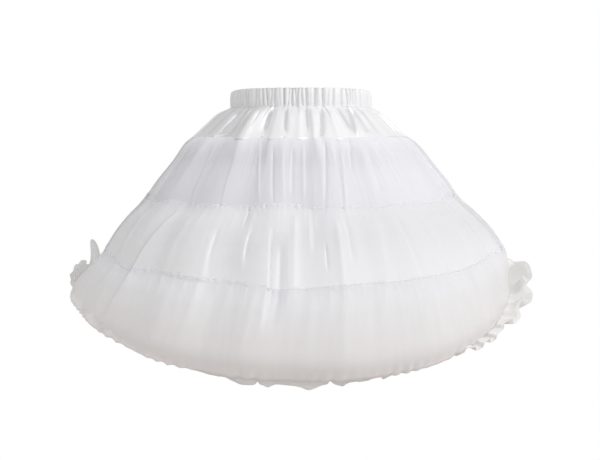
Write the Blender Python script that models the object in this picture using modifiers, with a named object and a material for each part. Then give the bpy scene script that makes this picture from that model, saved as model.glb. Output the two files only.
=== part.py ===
"""A white tiered tutu petticoat, filled out as on a wearer and open at the waist and the hem.

Metres, +Z up. The origin is the middle of the waist, half way up the elastic waistband. The front
looks along -Y and the skirt's own right and left sides lie along -X and +X. Every piece is one
wall of cloth, drawn through level rings: a ring is an oval with its own height at the front, its
own height at the sides and its own depth of fold. Angles are counted from +X towards +Y.
"""

import math
from collections import namedtuple

import bmesh
import bpy
from mathutils import Vector

# Cloth
ORGANZA_WALL = 0.0012
SATIN_WALL = 0.0012
BAND_WALL = 0.0030
FRILL_WALL = 0.0013
SEAM_GAP = 0.0003

# Waistband: an elastic in a ruched casing
BAND_HEIGHT = 0.027
BAND_GATHERS = 36
BAND_GATHER_DEPTH = 0.0007

# Columns of points round the skirt and round the frill
COLUMNS = 72
FRILL_COLUMNS = 2 * COLUMNS

# Folds: how many go round, and the ripples that make their spacing and their depth uneven
Ripple = namedtuple("Ripple", "size times_round phase")
Folds = namedtuple("Folds", "count drift depth")

SKIRT_FOLDS = Folds(
    count=18,
    drift=(Ripple(0.55, 2, 0.6), Ripple(0.35, 5, 2.1)),
    depth=Ripple(0.28, 3, 1.1),
)
FRILL_FLUTES = Folds(
    count=48,
    drift=(Ripple(0.50, 4, 0.0),),
    depth=Ripple(0.25, 7, 0.8),
)

# Laps at the seams, measured along the cloth
YOKE_LAP = 0.004
HEADING = 0.006
HEADING_STAND = 0.0012

# The sides of the lower rings are lifted, and the lift fades towards the front and the back
SIDE_LIFT_POWER = 2.2

# The long folds where a tier laps over itself: one at the front left, one at the back right
LAP_FOLDS = (math.radians(225.0), math.radians(45.0))
LAP_FOLD_FRONT = math.radians(70.0)
LAP_FOLD_BEHIND = math.radians(25.0)
LAP_FOLD_DIP = 0.4

# The frill's flutes: how far they swing at its edge, at the front and at the sides
FLUTE_FRONT = 0.0025
FLUTE_SIDE = 0.0060

# Near the right side the frill turns up round the flounce
TURN_UP_POWER = 12

Section = namedtuple(
    "Section",
    "half_width half_depth front_height side_height fold lap_fold turned_up to_the_right",
    defaults=(0.0, 0.0, 0.0, 0.0),
)

BAND = (
    Section(0.1050, 0.0838, +BAND_HEIGHT / 2, +BAND_HEIGHT / 2),
    Section(0.1055, 0.0842, -BAND_HEIGHT / 2, -BAND_HEIGHT / 2),
)

YOKE = (
    Section(0.1062, 0.0845, -0.0150, -0.0150, 0.0008),
    Section(0.1180, 0.0960, -0.0185, -0.0185, 0.0026),
    Section(0.1440, 0.1190, -0.0390, -0.0390, 0.0045),
    Section(0.1690, 0.1405, -0.0610, -0.0610, 0.0034),
)

TIER_1 = (
    Section(0.2000, 0.1690, -0.0990, -0.0970, 0.0048),
    Section(0.2235, 0.1900, -0.1290, -0.1260, 0.0060),
    Section(0.2395, 0.2055, -0.1540, -0.1500, 0.0060),
)

TIER_2 = (
    Section(0.2630, 0.2260, -0.1780, -0.1720, 0.0080, 0.0050),
    Section(0.2860, 0.2480, -0.2120, -0.1990, 0.0100, 0.0110),
    Section(0.3030, 0.2670, -0.2480, -0.2260, 0.0100, 0.0130),
)

TIER_3 = (
    Section(0.3160, 0.2870, -0.2720, -0.2420, 0.0085, 0.0090, to_the_right=-0.0030),
    Section(0.3280, 0.3030, -0.3060, -0.2610, 0.0070, 0.0050, to_the_right=-0.0085),
    Section(0.3360, 0.3070, -0.3340, -0.2780, 0.0050, 0.0020, to_the_right=-0.0125),
    Section(0.3370, 0.3000, -0.3520, -0.2870, 0.0035, 0.0005, to_the_right=-0.0145),
)

UNDERSKIRT = (
    Section(0.1880, 0.1570, -0.1000, -0.0980, 0.0010),
    Section(0.2260, 0.1920, -0.1560, -0.1520, 0.0012),
    Section(0.2730, 0.2320, -0.2330, -0.2120, 0.0014),
    Section(0.3020, 0.2640, -0.3110, -0.2770, 0.0010),
)

FRILL = (
    Section(0.3170, 0.2760, -0.3380, -0.2950),
    Section(0.3320, 0.2830, -0.3545, -0.2980, turned_up=0.0090, to_the_right=0.0030),
    Section(0.3420, 0.2880, -0.3640, -0.2940, turned_up=0.0230, to_the_right=0.0070),
)

Finish = namedtuple("Finish", "name colour roughness")

BAND_SATIN = Finish("band_satin", (0.86, 0.86, 0.86), 0.45)
YOKE_SATIN = Finish("yoke_satin", (0.90, 0.90, 0.91), 0.40)
ORGANZA = Finish("organza", (0.84, 0.85, 0.86), 0.60)
SOFT_TULLE = Finish("soft_tulle", (0.82, 0.82, 0.82), 0.85)
LINING = Finish("lining", (0.80, 0.80, 0.81), 0.50)
CRISP_TULLE = Finish("crisp_tulle", (0.78, 0.78, 0.77), 0.70)


def rippled(ripple, angle):
    """A slow ripple round the skirt at this angle."""
    return ripple.size * math.sin(ripple.times_round * angle + ripple.phase)


def fold_wave(folds, angle):
    """A set of folds, from -1 in a hollow to 1 on a crest, uneven in spacing and depth."""
    drift = sum(rippled(ripple, angle) for ripple in folds.drift)
    depth = 1.0 - folds.depth.size + rippled(folds.depth, angle)
    return depth * math.cos(folds.count * angle + drift)


def lap_wave(angle):
    """The long folds: cloth that stands proud from the fold's edge on, and dips just behind it."""
    swell = 0.0
    for edge in LAP_FOLDS:
        past = (angle - edge + math.pi) % math.tau - math.pi
        if 0.0 <= past < LAP_FOLD_FRONT:
            swell += 1.0 - past / LAP_FOLD_FRONT
        elif -LAP_FOLD_BEHIND < past < 0.0:
            swell -= LAP_FOLD_DIP * (1.0 + past / LAP_FOLD_BEHIND)
    return swell


def outward(section, angle):
    """The level direction that leaves the section's oval at this angle."""
    along = math.cos(angle) / section.half_width
    across = math.sin(angle) / section.half_depth
    return Vector((along, across, 0.0)).normalized()


def side_share(angle):
    """How far this angle counts as the side: 1 at the two sides, 0 at the front and the back."""
    return abs(math.cos(angle)) ** SIDE_LIFT_POWER


def ring(section, columns=COLUMNS):
    """The points of one section, its folds included."""
    points = []
    for column in range(columns):
        angle = math.tau * column / columns
        rise = section.side_height - section.front_height
        height = section.front_height + rise * side_share(angle)
        height += section.turned_up * max(math.cos(angle), 0.0) ** TURN_UP_POWER
        across = section.half_width * math.cos(angle) + section.to_the_right
        forward = section.half_depth * math.sin(angle)
        swell = section.fold * fold_wave(SKIRT_FOLDS, angle) + section.lap_fold * lap_wave(angle)
        points.append(Vector((across, forward, height)) + outward(section, angle) * swell)
    return points


def normals(rings, row):
    """The outward normals of the cloth through these rings, at one of them."""
    above = rings[max(row - 1, 0)]
    below = rings[min(row + 1, len(rings) - 1)]
    here = rings[row]
    count = len(here)
    found = []
    for column in range(count):
        around = here[(column + 1) % count] - here[column - 1]
        down = below[column] - above[column]
        found.append(down.cross(around).normalized())
    return found


def moved_out(points, directions, distance):
    """The points, each moved this far along its direction."""
    return [point + direction * distance for point, direction in zip(points, directions)]


def along_the_cloth(upper, lower, distance):
    """The points of the cloth this far above the lower ring, towards the upper one."""
    return [low + (high - low).normalized() * distance for high, low in zip(upper, lower)]


def material(finish):
    """A Principled material of this finish."""
    made = bpy.data.materials.new(finish.name)
    made.use_nodes = True
    shader = made.node_tree.nodes["Principled BSDF"]
    shader.inputs["Base Color"].default_value = (*finish.colour, 1.0)
    shader.inputs["Roughness"].default_value = finish.roughness
    shader.inputs["Metallic"].default_value = 0.0
    return made


def spun_tube(columns, rows):
    """A tube of unit radius, one unit high for each row of faces, with its top ring at zero."""
    shape = bmesh.new()
    line = [shape.verts.new((1.0, 0.0, -float(row))) for row in range(rows + 1)]
    edges = [shape.edges.new(pair) for pair in zip(line, line[1:])]
    bmesh.ops.spin(
        shape,
        geom=line + edges,
        cent=(0.0, 0.0, 0.0),
        axis=(0.0, 0.0, 1.0),
        angle=math.tau,
        steps=columns,
        use_merge=True,
    )
    bmesh.ops.recalc_face_normals(shape, faces=shape.faces)
    if sum(face.normal.dot(face.calc_center_median() * Vector((1, 1, 0))) for face in shape.faces) < 0:
        bmesh.ops.reverse_faces(shape, faces=shape.faces)
    return shape


def cloth(collection, name, rings, wall, finish):
    """One piece of cloth: a tube through the rings, which are its inner side, and its wall outside."""
    columns = len(rings[0])
    shape = spun_tube(columns, len(rings) - 1)
    for vert in shape.verts:
        column = round(math.atan2(vert.co.y, vert.co.x) * columns / math.tau) % columns
        vert.co = rings[round(-vert.co.z)][column]
    bmesh.ops.triangulate(shape, faces=shape.faces, quad_method="SHORT_EDGE")
    mesh = bpy.data.meshes.new(name)
    shape.to_mesh(mesh)
    shape.free()
    mesh.materials.append(material(finish))
    piece = bpy.data.objects.new(name, mesh)
    collection.objects.link(piece)
    thickness = piece.modifiers.new("wall", "SOLIDIFY")
    thickness.thickness = wall
    thickness.offset = 1.0
    thickness.use_even_offset = False
    return piece


def band_rings():
    """The waistband's rings: a crest and a hollow by turns, one pair for each gather."""
    rings = []
    for section in BAND:
        points = ring(section)
        for column, point in enumerate(points):
            angle = math.tau * column / COLUMNS
            swing = BAND_GATHER_DEPTH * math.cos(BAND_GATHERS * angle)
            points[column] = point + outward(section, angle) * swing
        rings.append(points)
    return rings


def tier_1_rings(yoke):
    """The first tier starts inside the yoke's loose lower edge, which laps over it."""
    edge = len(yoke) - 1
    under_edge = along_the_cloth(yoke[edge - 1], yoke[edge], YOKE_LAP)
    top = moved_out(under_edge, normals(yoke, edge), -(ORGANZA_WALL + SEAM_GAP))
    return [top] + [ring(section) for section in TIER_1]


def headed_rings(above, sections, wall_above):
    """A tier gathered on to the lower edge of the one above, with its heading standing over it."""
    edge = len(above) - 1
    facing = normals(above, edge)
    free_edge = along_the_cloth(above[edge - 1], above[edge], HEADING)
    heading = moved_out(free_edge, facing, wall_above + SEAM_GAP + HEADING_STAND)
    stitched = moved_out(above[edge], facing, wall_above + SEAM_GAP)
    return [heading, stitched] + [ring(section) for section in sections]


def underskirt_rings(tier_1):
    """The underskirt is caught in the yoke's seam, inside the first tier."""
    top = moved_out(tier_1[0], normals(tier_1, 0), -(SATIN_WALL + SEAM_GAP))
    return [top] + [ring(section) for section in UNDERSKIRT]


def with_midpoints(points):
    """The same ring with a point added half way along each side."""
    doubled = []
    for column, point in enumerate(points):
        following = points[(column + 1) % len(points)]
        doubled += [point, (point + following) / 2]
    return doubled


def frill_rings(underskirt):
    """The hem frill, sewn round the underskirt's edge, with flutes that grow towards its own edge."""
    edge = len(underskirt) - 1
    stitched = moved_out(underskirt[edge], normals(underskirt, edge), SATIN_WALL + SEAM_GAP)
    plain = [with_midpoints(stitched)] + [ring(section, FRILL_COLUMNS) for section in FRILL]
    fluted = [plain[0]]
    for row in range(1, len(plain)):
        share = row / (len(plain) - 1)
        facing = normals(plain, row)
        points = []
        for column, point in enumerate(plain[row]):
            angle = math.tau * column / FRILL_COLUMNS
            swing = FLUTE_FRONT + (FLUTE_SIDE - FLUTE_FRONT) * side_share(angle)
            flute = swing * fold_wave(FRILL_FLUTES, angle) * share
            points.append(point + facing[column] * flute)
        fluted.append(points)
    return fluted


def main():
    """Clears the scene and builds the skirt's pieces, from the waist down."""
    for old in list(bpy.data.objects):
        bpy.data.objects.remove(old, do_unlink=True)
    skirt = bpy.data.collections.new("tutu_petticoat_skirt")
    bpy.context.scene.collection.children.link(skirt)

    yoke = [ring(section) for section in YOKE]
    tier_1 = tier_1_rings(yoke)
    tier_2 = headed_rings(tier_1, TIER_2, ORGANZA_WALL)
    tier_3 = headed_rings(tier_2, TIER_3, ORGANZA_WALL)
    underskirt = underskirt_rings(tier_1)

    cloth(skirt, "waistband", band_rings(), BAND_WALL, BAND_SATIN)
    cloth(skirt, "yoke", yoke, SATIN_WALL, YOKE_SATIN)
    cloth(skirt, "tier_1", tier_1, ORGANZA_WALL, ORGANZA)
    cloth(skirt, "tier_2", tier_2, ORGANZA_WALL, ORGANZA)
    cloth(skirt, "tier_3", tier_3, ORGANZA_WALL, SOFT_TULLE)
    cloth(skirt, "underskirt", underskirt, SATIN_WALL, LINING)
    cloth(skirt, "hem_frill", frill_rings(underskirt), FRILL_WALL, CRISP_TULLE)


main()
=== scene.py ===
"""A white tiered tutu petticoat, filled out as on a wearer: its cloth, seams, folds and finishes.

Metres, +Z up, with the middle of the waist at the origin. The front looks along -Y. Angles are
counted in degrees from +X towards +Y, so the middle of the front is at 270 degrees and the left
of the picture at 180. Each piece of cloth is rolled into a plain tube round the waist's axis and then
shaped by its own rings, gathers and folds, on the form of the solid that it replaces.
"""

import logging
import math
from dataclasses import astuple, dataclass, replace
from enum import Enum

import bmesh
import bpy
import numpy as np
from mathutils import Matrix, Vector


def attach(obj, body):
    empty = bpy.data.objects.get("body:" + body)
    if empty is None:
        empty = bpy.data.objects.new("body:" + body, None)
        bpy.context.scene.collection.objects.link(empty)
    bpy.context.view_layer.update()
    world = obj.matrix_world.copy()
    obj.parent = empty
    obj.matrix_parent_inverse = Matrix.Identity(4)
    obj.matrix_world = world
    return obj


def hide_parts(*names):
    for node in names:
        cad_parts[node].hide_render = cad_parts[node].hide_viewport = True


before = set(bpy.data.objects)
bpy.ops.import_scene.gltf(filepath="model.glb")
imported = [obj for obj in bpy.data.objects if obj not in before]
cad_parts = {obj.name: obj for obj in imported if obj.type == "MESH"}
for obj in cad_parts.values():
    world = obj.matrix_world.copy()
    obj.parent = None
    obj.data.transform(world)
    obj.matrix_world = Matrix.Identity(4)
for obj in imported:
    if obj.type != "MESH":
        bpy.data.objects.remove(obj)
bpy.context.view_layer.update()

LOG = logging.getLogger("petticoat")
TURN = math.tau

# The solids' walls are this thick, and the cloth lies in their middle.
CAD_WALL = 0.0012

# A tier's heading: its height above the stitches, and how far it stands outside the tier above.
HEADING = 0.007
HEADING_OUT = 0.0007

# How the skirt's rings rise towards the sides, and turn up at the right.
SIDE_LIFT_POWER = 2.2
TURN_UP_POWER = 12

# A sharp crease falls off from its middle this fast, and is blunt by this much.
SHARP_TOP = 0.25
SHARP_FALL = 1.7
SHARP_TIP = 0.0216

# Shares of a crease's length in which it rises and dies away.
EASE_IN = 0.22
EASE_OUT = 0.35

# A lapped fold's front settles on this curve.
LAP_POWER = 1.3

# Gathers are held flat this near to their stitches.
STITCH_HOLD = 0.0035

# Folds on the hidden side of a heading stand this many degrees further round.
HIDDEN_TURN = 7.0
ALWAYS_CRIMPED = 0.15
LUMP_HEIGHT = 0.0012

# How fast the crimps grow towards a heading's free edge, how far they curl, and how it droops.
CRIMP_POWER = 0.7
CRIMP_CURL = 0.6
DROOP = 0.4

# How steep a gather has to be to look crowded.
CROWDING = 1.4


class Held(Enum):
    """How a strip of cloth is held on the skirt."""

    GATHERED = "gathered"
    HUNG = "hung"


class Profile(Enum):
    """The section of a crease: rounded, or sharp at its bottom as where cloth is pinched."""

    ROUND = "round"
    SHARP = "sharp"

    def at(self, off: np.ndarray) -> np.ndarray:
        """The section's height.

        Args:
            off: distances from its middle, in widths.

        Returns:
            The heights, 1 in the middle.
        """
        if self is Profile.SHARP:
            return np.exp(SHARP_TOP - SHARP_FALL * np.sqrt(off * off + SHARP_TIP))
        return 1.0 / (1.0 + off * off) ** 2


def smooth_step(value: np.ndarray) -> np.ndarray:
    """An even rise from 0 to 1 as the value goes from 0 to 1."""
    value = np.clip(value, 0.0, 1.0)
    return value * value * (3.0 - 2.0 * value)


def turned(angle: np.ndarray) -> np.ndarray:
    """The same angle between minus and plus half a turn."""
    return (angle + math.pi) % TURN - math.pi


def smooth_table(knots: np.ndarray, table: np.ndarray, at: np.ndarray) -> np.ndarray:
    """Reads a table between its rows, on smooth curves.

    Args:
        knots: where each row of the table stands, rising.
        table: the rows of values.
        at: the places to read.

    Returns:
        One row of values for each place.
    """
    slopes = np.gradient(table, knots, axis=0)
    row = np.clip(np.searchsorted(knots, at, side="right") - 1, 0, len(knots) - 2)
    span = (knots[row + 1] - knots[row])[:, None]
    part = (at - knots[row])[:, None] / span
    rise = part * part * (3.0 - 2.0 * part)
    leave = part * (1.0 - part) ** 2
    arrive = part * part * (part - 1.0)
    ends = table[row] * (1.0 - rise) + table[row + 1] * rise
    return ends + span * (slopes[row] * leave + slopes[row + 1] * arrive)


@dataclass(frozen=True)
class Ripple:
    """A slow ripple round the skirt: its size, how often it goes round, and where it starts."""

    size: float
    times_round: int
    phase: float

    def at(self, angle: np.ndarray) -> np.ndarray:
        """Its value at these angles."""
        return self.size * np.sin(self.times_round * angle + self.phase)


@dataclass(frozen=True)
class Folds:
    """Folds that go all the way round, uneven in their spacing and their depth."""

    count: int
    drift: tuple[Ripple, ...]
    depth: Ripple

    def phase(self, angle: np.ndarray) -> np.ndarray:
        """How far round its own fold each angle is, in radians, with 0 on a crest."""
        return self.count * angle + sum(ripple.at(angle) for ripple in self.drift)

    def share(self, angle: np.ndarray) -> np.ndarray:
        """How deep the folds are at each angle, up to 1."""
        return 1.0 - self.depth.size + self.depth.at(angle)

    def wave(self, angle: np.ndarray) -> np.ndarray:
        """The folds, from -1 in a hollow to 1 on a crest."""
        return self.share(angle) * np.cos(self.phase(angle))


SKIRT_FOLDS = Folds(18, (Ripple(0.55, 2, 0.6), Ripple(0.35, 5, 2.1)), Ripple(0.28, 3, 1.1))


@dataclass(frozen=True)
class Ring:
    """One level of a piece of cloth: an oval, and its height at the front and at the sides.

    Fold is the height of the folds that all pieces share, lap that of the piece's long laps. The
    ring may be turned up at the right, and lie a little to the right.
    """

    half_width: float
    half_depth: float
    front_height: float
    side_height: float
    fold: float = 0.0
    lap: float = 0.0
    turned_up: float = 0.0
    to_the_right: float = 0.0

    @classmethod
    def on(cls, upper: "Ring", lower: "Ring", back: float, out: float) -> "Ring":
        """A ring on a cloth that is already there, near its lower edge.

        Args:
            upper: the cloth's last ring but one.
            lower: the cloth's last ring, at its lower edge.
            back: how far above that edge, along the cloth.
            out: how far outside the cloth, or inside it below zero.

        Returns:
            The ring, with the folds that the cloth has there.
        """
        placed = {}
        for wide, high in (("half_width", "side_height"), ("half_depth", "front_height")):
            across = getattr(lower, wide) - getattr(upper, wide)
            fall = getattr(lower, high) - getattr(upper, high)
            span = math.hypot(across, fall)
            placed[wide] = getattr(lower, wide) - across / span * back - fall / span * out
            placed[high] = getattr(lower, high) - fall / span * back + across / span * out
        across, fall = lower.half_width - upper.half_width, lower.side_height - upper.side_height
        part = back / math.hypot(across, fall)
        fold = lower.fold + (upper.fold - lower.fold) * part
        lap = lower.lap + (upper.lap - lower.lap) * part
        return cls(fold=fold, lap=lap, **placed)


YOKE_RINGS = (
    Ring(0.1062, 0.0845, -0.0125, -0.0125, 0.0008),
    Ring(0.1180, 0.0960, -0.0185, -0.0185, 0.0026),
    Ring(0.1440, 0.1190, -0.0390, -0.0390, 0.0045),
    Ring(0.1690, 0.1405, -0.0610, -0.0610, 0.0034),
)
TIER_1_RINGS = (
    Ring.on(YOKE_RINGS[-2], YOKE_RINGS[-1], 0.012, -0.0020),
    Ring.on(YOKE_RINGS[-2], YOKE_RINGS[-1], 0.002, 0.0004),
    Ring(0.2000, 0.1690, -0.0990, -0.0970, 0.0032),
    Ring(0.2235, 0.1900, -0.1290, -0.1260, 0.0034),
    Ring(0.2395, 0.2055, -0.1540, -0.1500, 0.0036),
)
TIER_2_RINGS = (
    Ring.on(TIER_1_RINGS[-2], TIER_1_RINGS[-1], HEADING, HEADING_OUT),
    Ring.on(TIER_1_RINGS[-2], TIER_1_RINGS[-1], 0.0, HEADING_OUT),
    Ring(0.2630, 0.2260, -0.1780, -0.1720, 0.0042, 0.0040),
    Ring(0.2860, 0.2480, -0.2120, -0.1990, 0.0040, 0.0070),
    Ring(0.3030, 0.2670, -0.2480, -0.2260, 0.0032, 0.0075),
)
TIER_3_RINGS = (
    Ring.on(TIER_2_RINGS[-2], TIER_2_RINGS[-1], HEADING, HEADING_OUT),
    Ring.on(TIER_2_RINGS[-2], TIER_2_RINGS[-1], 0.0, HEADING_OUT),
    Ring(0.3160, 0.2870, -0.2720, -0.2420, 0.0026, 0.0055, to_the_right=-0.0030),
    Ring(0.3280, 0.3030, -0.3060, -0.2610, 0.0022, 0.0035, to_the_right=-0.0085),
    Ring(0.3360, 0.3060, -0.3320, -0.2770, 0.0020, 0.0015, to_the_right=-0.0125),
    Ring(0.3370, 0.2955, -0.3535, -0.2870, 0.0018, 0.0005, to_the_right=-0.0145),
)
UNDERSKIRT_RINGS = (
    Ring.on(YOKE_RINGS[-2], YOKE_RINGS[-1], 0.016, -0.0055),
    Ring(0.1880, 0.1570, -0.1000, -0.0980, 0.0010),
    Ring(0.2260, 0.1920, -0.1560, -0.1520, 0.0012),
    Ring(0.2730, 0.2320, -0.2330, -0.2120, 0.0014),
    Ring(0.3020, 0.2640, -0.3110, -0.2770, 0.0010),
)
FRILL_RINGS = (
    Ring.on(UNDERSKIRT_RINGS[-2], UNDERSKIRT_RINGS[-1], 0.0, 0.0015),
    Ring(0.3170, 0.2760, -0.3380, -0.2950),
    Ring(0.3320, 0.2830, -0.3545, -0.2980, turned_up=0.0090, to_the_right=0.0030),
    Ring(0.3420, 0.2880, -0.3640, -0.2940, turned_up=0.0230, to_the_right=0.0070),
)


@dataclass(frozen=True)
class Crease:
    """One soft ridge, or a trough where its height is below zero, placed one by one.

    It starts at an angle and drifts round by so many degrees to the cloth's lower edge. Start and
    end are shares of the cloth's length, and height and width are in metres. Lean is how far the
    crest leans over sideways for its height, and widen is how much wider it grows on its way down.
    """

    angle: float
    drift: float
    start: float
    end: float
    height: float
    width: float
    lean: float = 0.0
    widen: float = 0.5
    profile: Profile = Profile.ROUND

    def at_the_back(self, turn: float) -> "Crease":
        """The same kind of crease on the hidden side, a little further round."""
        return replace(self, angle=360.0 - self.angle + turn, drift=-self.drift, lean=-self.lean)


@dataclass(frozen=True)
class Lap:
    """A fold whose edge laps over the cloth beside it.

    Toward is 1 where the cloth that stands proud lies towards larger angles, and -1 the other way.
    It settles over so many degrees in front of the edge and behind it, and over is how far the
    edge is drawn across the cloth behind it, in widths.
    """

    angle: float
    drift: float
    start: float
    end: float
    height: float
    width: float
    toward: int
    front: float
    behind: float
    dip: float = 0.4
    over: float = 0.6

    def at_the_back(self, turn: float) -> "Lap":
        """The same kind of fold on the hidden side, a little further round."""
        return replace(
            self, angle=360.0 - self.angle + turn, drift=-self.drift, toward=-self.toward
        )


@dataclass(frozen=True)
class Swell:
    """A broad swell or hollow in a piece's form, round one place on it.

    Share and reach are parts of the cloth's length and spread is in degrees. Out is along the
    cloth's normal, and up, right and away from the waist's axis are straight, in metres.
    """

    angle: float
    spread: float
    share: float
    reach: float
    out: float = 0.0
    up: float = 0.0
    right: float = 0.0
    away: float = 0.0


@dataclass(frozen=True)
class Shade:
    """A stretch of the skirt with painted shade, greying a piece's cloth: its middle, its spread, how
    much.
    """

    angle: float
    spread: float
    grey: float

    def at(self, grid: "ClothGrid") -> np.ndarray:
        """How much painted shade each point of the piece gets."""
        off = grid.past(self.angle) / math.radians(self.spread)
        return self.grey * np.exp(-(off ** 6))


@dataclass(frozen=True)
class Gathers:
    """The many small ridges that run from a line of stitches, drawn at random from a seed.

    Spread is how much wider a ridge grows for each metre below the stitches. It ends between the
    shortest and the longest length, and the longest ones are rarer where rarity is larger. Wander
    is its usual drift in degrees, and seam is how far down the cloth the stitches are. Jitter is
    how far it may stand from its even place, as a share of a step. Heights and widths are the
    least and the greatest share of the height and of the width that a ridge gets.
    """

    count: int
    height: float
    width: float
    spread: float
    shortest: float
    longest: float
    seed: int
    seam: float = 0.0
    lean: float = 0.6
    wander: float = 1.0
    rarity: float = 2.5
    jitter: float = 0.45
    heights: tuple[float, float] = (0.4, 1.0)
    widths: tuple[float, float] = (0.7, 1.3)


class ClothGrid:
    """A tube of cloth as a grid of points, by row from its top edge and by column round it.

    It starts on the form of its rings. Creases add to height, which is along the cloth's outward
    normal, to shift, which is round the skirt, and to sway, which is down the cloth.
    """

    def __init__(self, rings: tuple[Ring, ...], columns: int, downs: np.ndarray) -> None:
        """Lays the plain grid.

        Args:
            rings: the form, from the top edge down.
            columns: how many points go round.
            downs: the rows, each as its share of the length, from 0 to 1.
        """
        table = np.array([astuple(ring) for ring in rings])
        steps = np.diff(table[:, :4], axis=0)
        lengths = (np.hypot(steps[:, 0], steps[:, 3]) + np.hypot(steps[:, 1], steps[:, 2])) / 2
        knots = np.concatenate([[0.0], np.cumsum(lengths)])
        self.length = float(knots[-1])
        self.down = downs * self.length
        self.share = downs
        self.angle = np.arange(columns) / columns * TURN
        values = smooth_table(knots, table, self.down)
        wide, deep, front, side, fold, lap, turned_up, right = values.T[:, :, None]
        cosine, sine = np.cos(self.angle), np.sin(self.angle)
        plan = np.stack([cosine / wide, sine / deep], axis=-1)
        plan /= np.linalg.norm(plan, axis=-1, keepdims=True)
        swell = fold * SKIRT_FOLDS.wave(self.angle)
        high = front + (side - front) * np.abs(cosine) ** SIDE_LIFT_POWER
        high = high + turned_up * np.maximum(cosine, 0.0) ** TURN_UP_POWER
        across = wide * cosine + right + plan[..., 0] * swell
        forward = deep * sine + plan[..., 1] * swell
        self.base = np.stack([across, forward, high], axis=-1)
        self.lap_height = lap[:, 0]
        self.settled = np.zeros((len(downs), columns))
        self.shared = np.zeros(columns)
        self.lumps = np.zeros(columns)
        self._take_bearings()

    def _take_bearings(self) -> None:
        """Finds the directions round, down and out of the cloth, and starts with no creases."""
        around = np.roll(self.base, -1, axis=1) - np.roll(self.base, 1, axis=1)
        width = np.linalg.norm(around, axis=-1)
        self.scale = width * len(self.angle) / (2.0 * TURN)
        self.around = around / width[..., None]
        down = np.gradient(self.base, axis=0)
        out = np.cross(down, self.around)
        self.out = out / np.linalg.norm(out, axis=-1, keepdims=True)
        self.below = np.cross(self.around, self.out)
        self.height = np.zeros(width.shape)
        self.shift = np.zeros(width.shape)
        self.sway = np.zeros(width.shape)

    def settle(self) -> None:
        """Takes the creases so far into the form, so that later ones stand on it."""
        self.settled = self.settled + self.height
        self.base = self.points()
        self._take_bearings()

    def edge(self) -> np.ndarray:
        """How far the lower edge stands out by folds that only this piece has, round the skirt."""
        return self.settled[-1] + self.height[-1] - self.shared

    def follow(self, edge: np.ndarray, seam: float, over: float) -> None:
        """Lets the cloth start from the folds of the one that it is sewn to.

        Args:
            edge: how far that cloth's edge stands out, round the skirt.
            seam: how far down this cloth the stitches are.
            over: how far below them it still shows.
        """
        places = np.arange(len(edge)) / len(edge) * TURN
        there = np.interp(self.angle, places, edge, period=TURN)
        fade = 1.0 - smooth_step((self.down - seam) / over)
        self.height += fade[:, None] * there[None, :]

    def swell(self, swell: Swell) -> None:
        """Moves the form outwards, up or to the right round one place.

        Args:
            swell: the place and how far the form moves there.
        """
        off = turned(self.angle - math.radians(swell.angle)) / math.radians(swell.spread)
        along = (self.share - swell.share) / swell.reach
        bell = np.exp(-(along ** 2))[:, None] * np.exp(-(off ** 2))[None, :]
        self.height += swell.out * bell
        across = swell.right + swell.away * np.cos(self.angle)
        forward = swell.away * np.sin(self.angle)
        straight = np.stack([across, forward, np.full(across.shape, swell.up)], axis=-1)
        self.base = self.base + bell[..., None] * straight

    def past(self, angle: float, drift: float = 0.0) -> np.ndarray:
        """How far each point is past a line down the cloth, in radians."""
        line = np.radians(angle + drift * self.share)[:, None]
        return turned(self.angle[None, :] - line)

    def envelope(self, start: float, end: float) -> np.ndarray:
        """A smooth rise after start and fall before end, by row."""
        part = (self.share - start) / (end - start)
        return (smooth_step(part / EASE_IN) * smooth_step((1.0 - part) / EASE_OUT))[:, None]

    def add_crease(self, crease: Crease) -> None:
        """Raises one ridge or sinks one trough.

        Args:
            crease: the ridge or trough.
        """
        width = crease.width * (1.0 + crease.widen * self.share[:, None])
        off = self.past(crease.angle, crease.drift) * self.scale / width
        swell = crease.height * self.envelope(crease.start, crease.end) * crease.profile.at(off)
        self.height += swell
        self.shift += crease.lean * swell

    def add_lap(self, lap: Lap) -> None:
        """Folds the cloth over along one edge.

        Args:
            lap: the fold, which stands at the rings' height where it has none of its own.
        """
        past = self.past(lap.angle, lap.drift) * lap.toward
        off = past * self.scale / lap.width
        rise = smooth_step(off + 0.5)
        if lap.height:
            height = lap.height * self.envelope(lap.start, lap.end)
        else:
            height = self.lap_height[:, None]
        proud = np.clip(1.0 - np.maximum(past, 0.0) / math.radians(lap.front), 0.0, 1.0)
        dipped = np.clip(1.0 + np.minimum(past, 0.0) / math.radians(lap.behind), 0.0, 1.0)
        swell = height * (rise * proud ** LAP_POWER - (1.0 - rise) * lap.dip * dipped)
        self.height += swell
        if not lap.height:
            self.shared += swell[-1]
        tuck = lap.over * off * np.exp(-off * off) * lap.width
        self.shift -= lap.toward * tuck * height / height.max()

    def add_gathers(self, gathers: Gathers) -> None:
        """Draws the small ridges that run from the stitches, up into a heading and down.

        Args:
            gathers: how many there are, and their sizes.
        """
        draw = np.random.default_rng(gathers.seed)
        below = (self.down - gathers.seam)[:, None]
        held = 1.0 - np.exp(-np.abs(below) / STITCH_HOLD)
        total = np.zeros(self.height.shape)
        lean = np.zeros(self.height.shape)
        for index in range(gathers.count):
            place = index + draw.uniform(-gathers.jitter, gathers.jitter)
            angle = 360.0 * place / gathers.count
            size = gathers.height * draw.uniform(*gathers.heights)
            reach = draw.random() ** gathers.rarity * (gathers.longest - gathers.shortest)
            fall = 1.0 - smooth_step(below / (gathers.shortest + reach))
            width = gathers.width * draw.uniform(*gathers.widths)
            width = width + gathers.spread * np.maximum(below, 0.0)
            drift = gathers.wander * draw.normal()
            off = self.past(angle, drift) * self.scale / width
            swell = size * held * fall / (1.0 + off * off) ** 2
            total += swell
            lean += swell * gathers.lean * draw.normal()
        self.height += total - total.mean(axis=1, keepdims=True)
        self.shift += lean

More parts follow.
